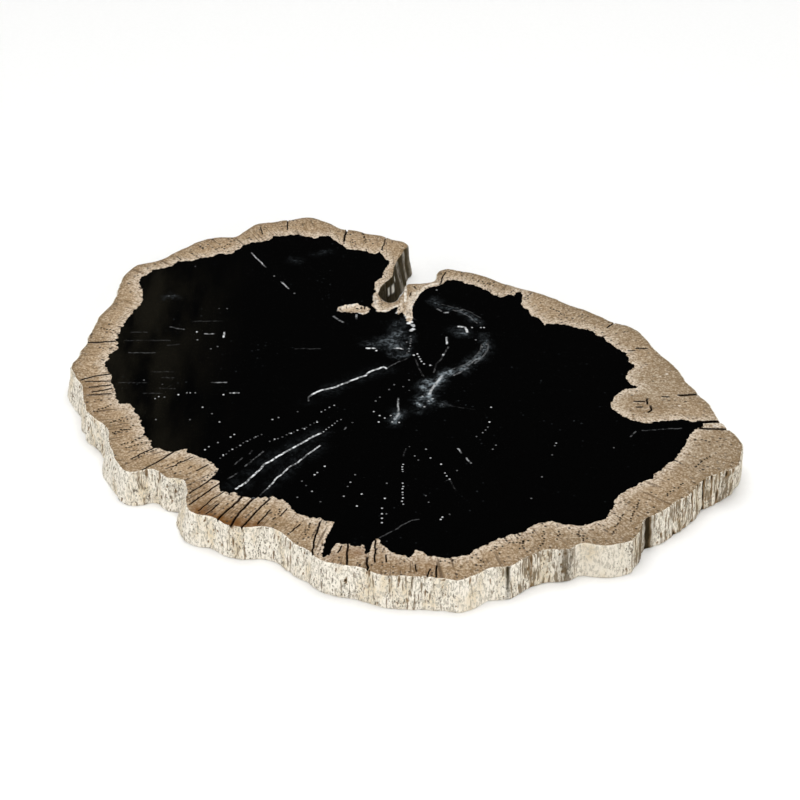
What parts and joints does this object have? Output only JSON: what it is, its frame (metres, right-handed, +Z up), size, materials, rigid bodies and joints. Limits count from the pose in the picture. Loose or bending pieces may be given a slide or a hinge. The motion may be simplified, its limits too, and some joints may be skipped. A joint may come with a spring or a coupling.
{
  "type": "petrified wood slice",
  "caption": "Flat polished cross-section of a fossil log with a black heart, a tan fluted rim and a split at the back; rests flat as a display slab or serving board.",
  "frame": {"origin": "middle of the slice's bounding box, on the surface that its underside rests on", "axes": "+Z up through the slice from the sawn underside to the polished top, +X along its longest extent, +Y towards the edge that has the split"},
  "size_m": [0.403, 0.3856, 0.022],
  "materials": {
    "petrified_wood": "gloss polished black agatised heartwood, satin tan rim about 15 to 25 mm wide, and a rough chalky cream natural wall"
  },
  "bodies": {
    "root": {"petrified_wood_slice": "petrified_wood"}
  },
  "joints": []
}
